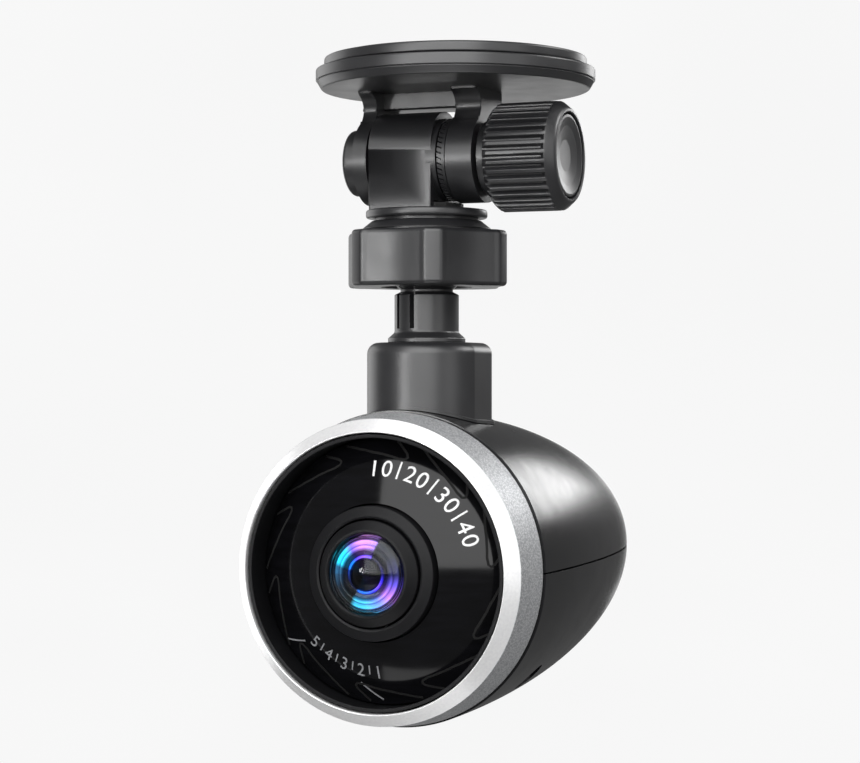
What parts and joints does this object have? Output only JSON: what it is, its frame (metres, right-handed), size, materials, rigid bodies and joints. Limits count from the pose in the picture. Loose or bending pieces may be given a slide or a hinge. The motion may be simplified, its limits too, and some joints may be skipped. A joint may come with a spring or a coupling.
{
  "type": "dash camera",
  "caption": "Bullet-shaped dash camera hanging from an adhesive windscreen disc by a knob-clamped tilting arm and a nut-locked ball joint.",
  "frame": {"origin": "middle of the adhesive face that sticks to the windscreen", "axes": "+Z out of the adhesive face, up when the camera hangs; the hinge bolt runs along X, the knob at its +X end; the lens looks along -Y"},
  "size_m": [0.0543, 0.1066, 0.1103],
  "materials": {
    "foam_tape": "matt foam tape",
    "satin_plastic": "satin",
    "bolt_cap": "satin",
    "black_plastic": "satin",
    "gloss_shell": "semi-gloss",
    "gloss_black": "gloss",
    "silver_ring": "satin with a polished lip",
    "lens_glass": "coated",
    "steel": "plain",
    "brass": "turned",
    "rubber": "matt",
    "heat_sink": "anodised",
    "chip": "moulded",
    "circuit_board": "solder mask"
  },
  "bodies": {
    "screen_mount": {"adhesive_pad": "foam_tape", "base_plate": "satin_plastic", "base_screw_1": "steel", "base_screw_2": "steel", "base_screw_3": "steel", "hinge_bracket": "satin_plastic", "clamp_bolt": "bolt_cap"},
    "clamp_knob": {"clamp_knob": "satin_plastic", "knob_insert": "brass", "knob_cap": "satin_plastic"},
    "tilt_arm": {"tilt_arm": "satin_plastic", "serrated_washer": "satin_plastic"},
    "lock_nut": {"lock_nut": "satin_plastic"},
    "seat_pad": {"seat_pad": "rubber"},
    "ball_liner": {"ball_liner": "black_plastic"},
    "camera": {"ball_stem": "satin_plastic", "mount_post": "satin_plastic", "stem_screw": "steel", "upper_shell": "gloss_shell", "lower_shell": "gloss_shell", "front_ring": "silver_ring", "inner_bezel": "gloss_black", "front_plate": "gloss_black", "lens_ring": "black_plastic", "lens_barrel": "black_plastic", "front_lens": "lens_glass", "inner_lens": "lens_glass", "lens_holder": "black_plastic", "image_sensor": "chip", "sensor_board": "circuit_board", "main_board": "circuit_board", "processor": "chip", "heat_spreader": "heat_sink", "supercapacitor_1": "black_plastic", "supercapacitor_2": "black_plastic", "speaker": "steel", "card_socket": "steel", "usb_socket": "steel", "button_switch": "black_plastic", "case_screw_1": "steel", "case_screw_2": "steel", "case_screw_3": "steel", "case_screw_4": "steel"},
    "memory_card": {"memory_card": "black_plastic"},
    "power_button": {"power_button": "black_plastic"}
  },
  "joints": [
    {"name": "arm_tilt", "type": "hinge", "parent": "screen_mount", "child": "tilt_arm", "pos_m": [-0.0052, 0, -0.017], "axis": [1, 0, 0], "range_deg": [-70, 70]},
    {"name": "knob_turn", "type": "hinge", "parent": "screen_mount", "child": "clamp_knob", "pos_m": [0.014, 0, -0.017], "axis": [1, 0, 0], "continuous": true},
    {"name": "nut_turn", "type": "hinge", "parent": "tilt_arm", "child": "lock_nut", "pos_m": [-0.0052, 0, -0.0335], "axis": [0, 0, 1], "continuous": true},
    {"name": "ball_turn", "type": "hinge", "parent": "tilt_arm", "child": "seat_pad", "pos_m": [-0.0052, 0, -0.0332], "axis": [0, 0, 1], "continuous": true},
    {"name": "ball_tilt", "type": "hinge", "parent": "seat_pad", "child": "ball_liner", "pos_m": [-0.0052, 0, -0.0332], "axis": [1, 0, 0], "range_deg": [-13, 13]},
    {"name": "ball_roll", "type": "hinge", "parent": "ball_liner", "child": "camera", "pos_m": [-0.0052, 0, -0.0332], "axis": [0, 1, 0], "range_deg": [-13, 13]},
    {"name": "card_slide", "type": "slide", "parent": "camera", "child": "memory_card", "axis": [0, 0, -1], "range_m": [0, 0.012]},
    {"name": "button_press", "type": "slide", "parent": "camera", "child": "power_button", "axis": [0, -1, 0], "range_m": [0, 0.0005], "stiffness_N_per_m": 1500}
  ]
}
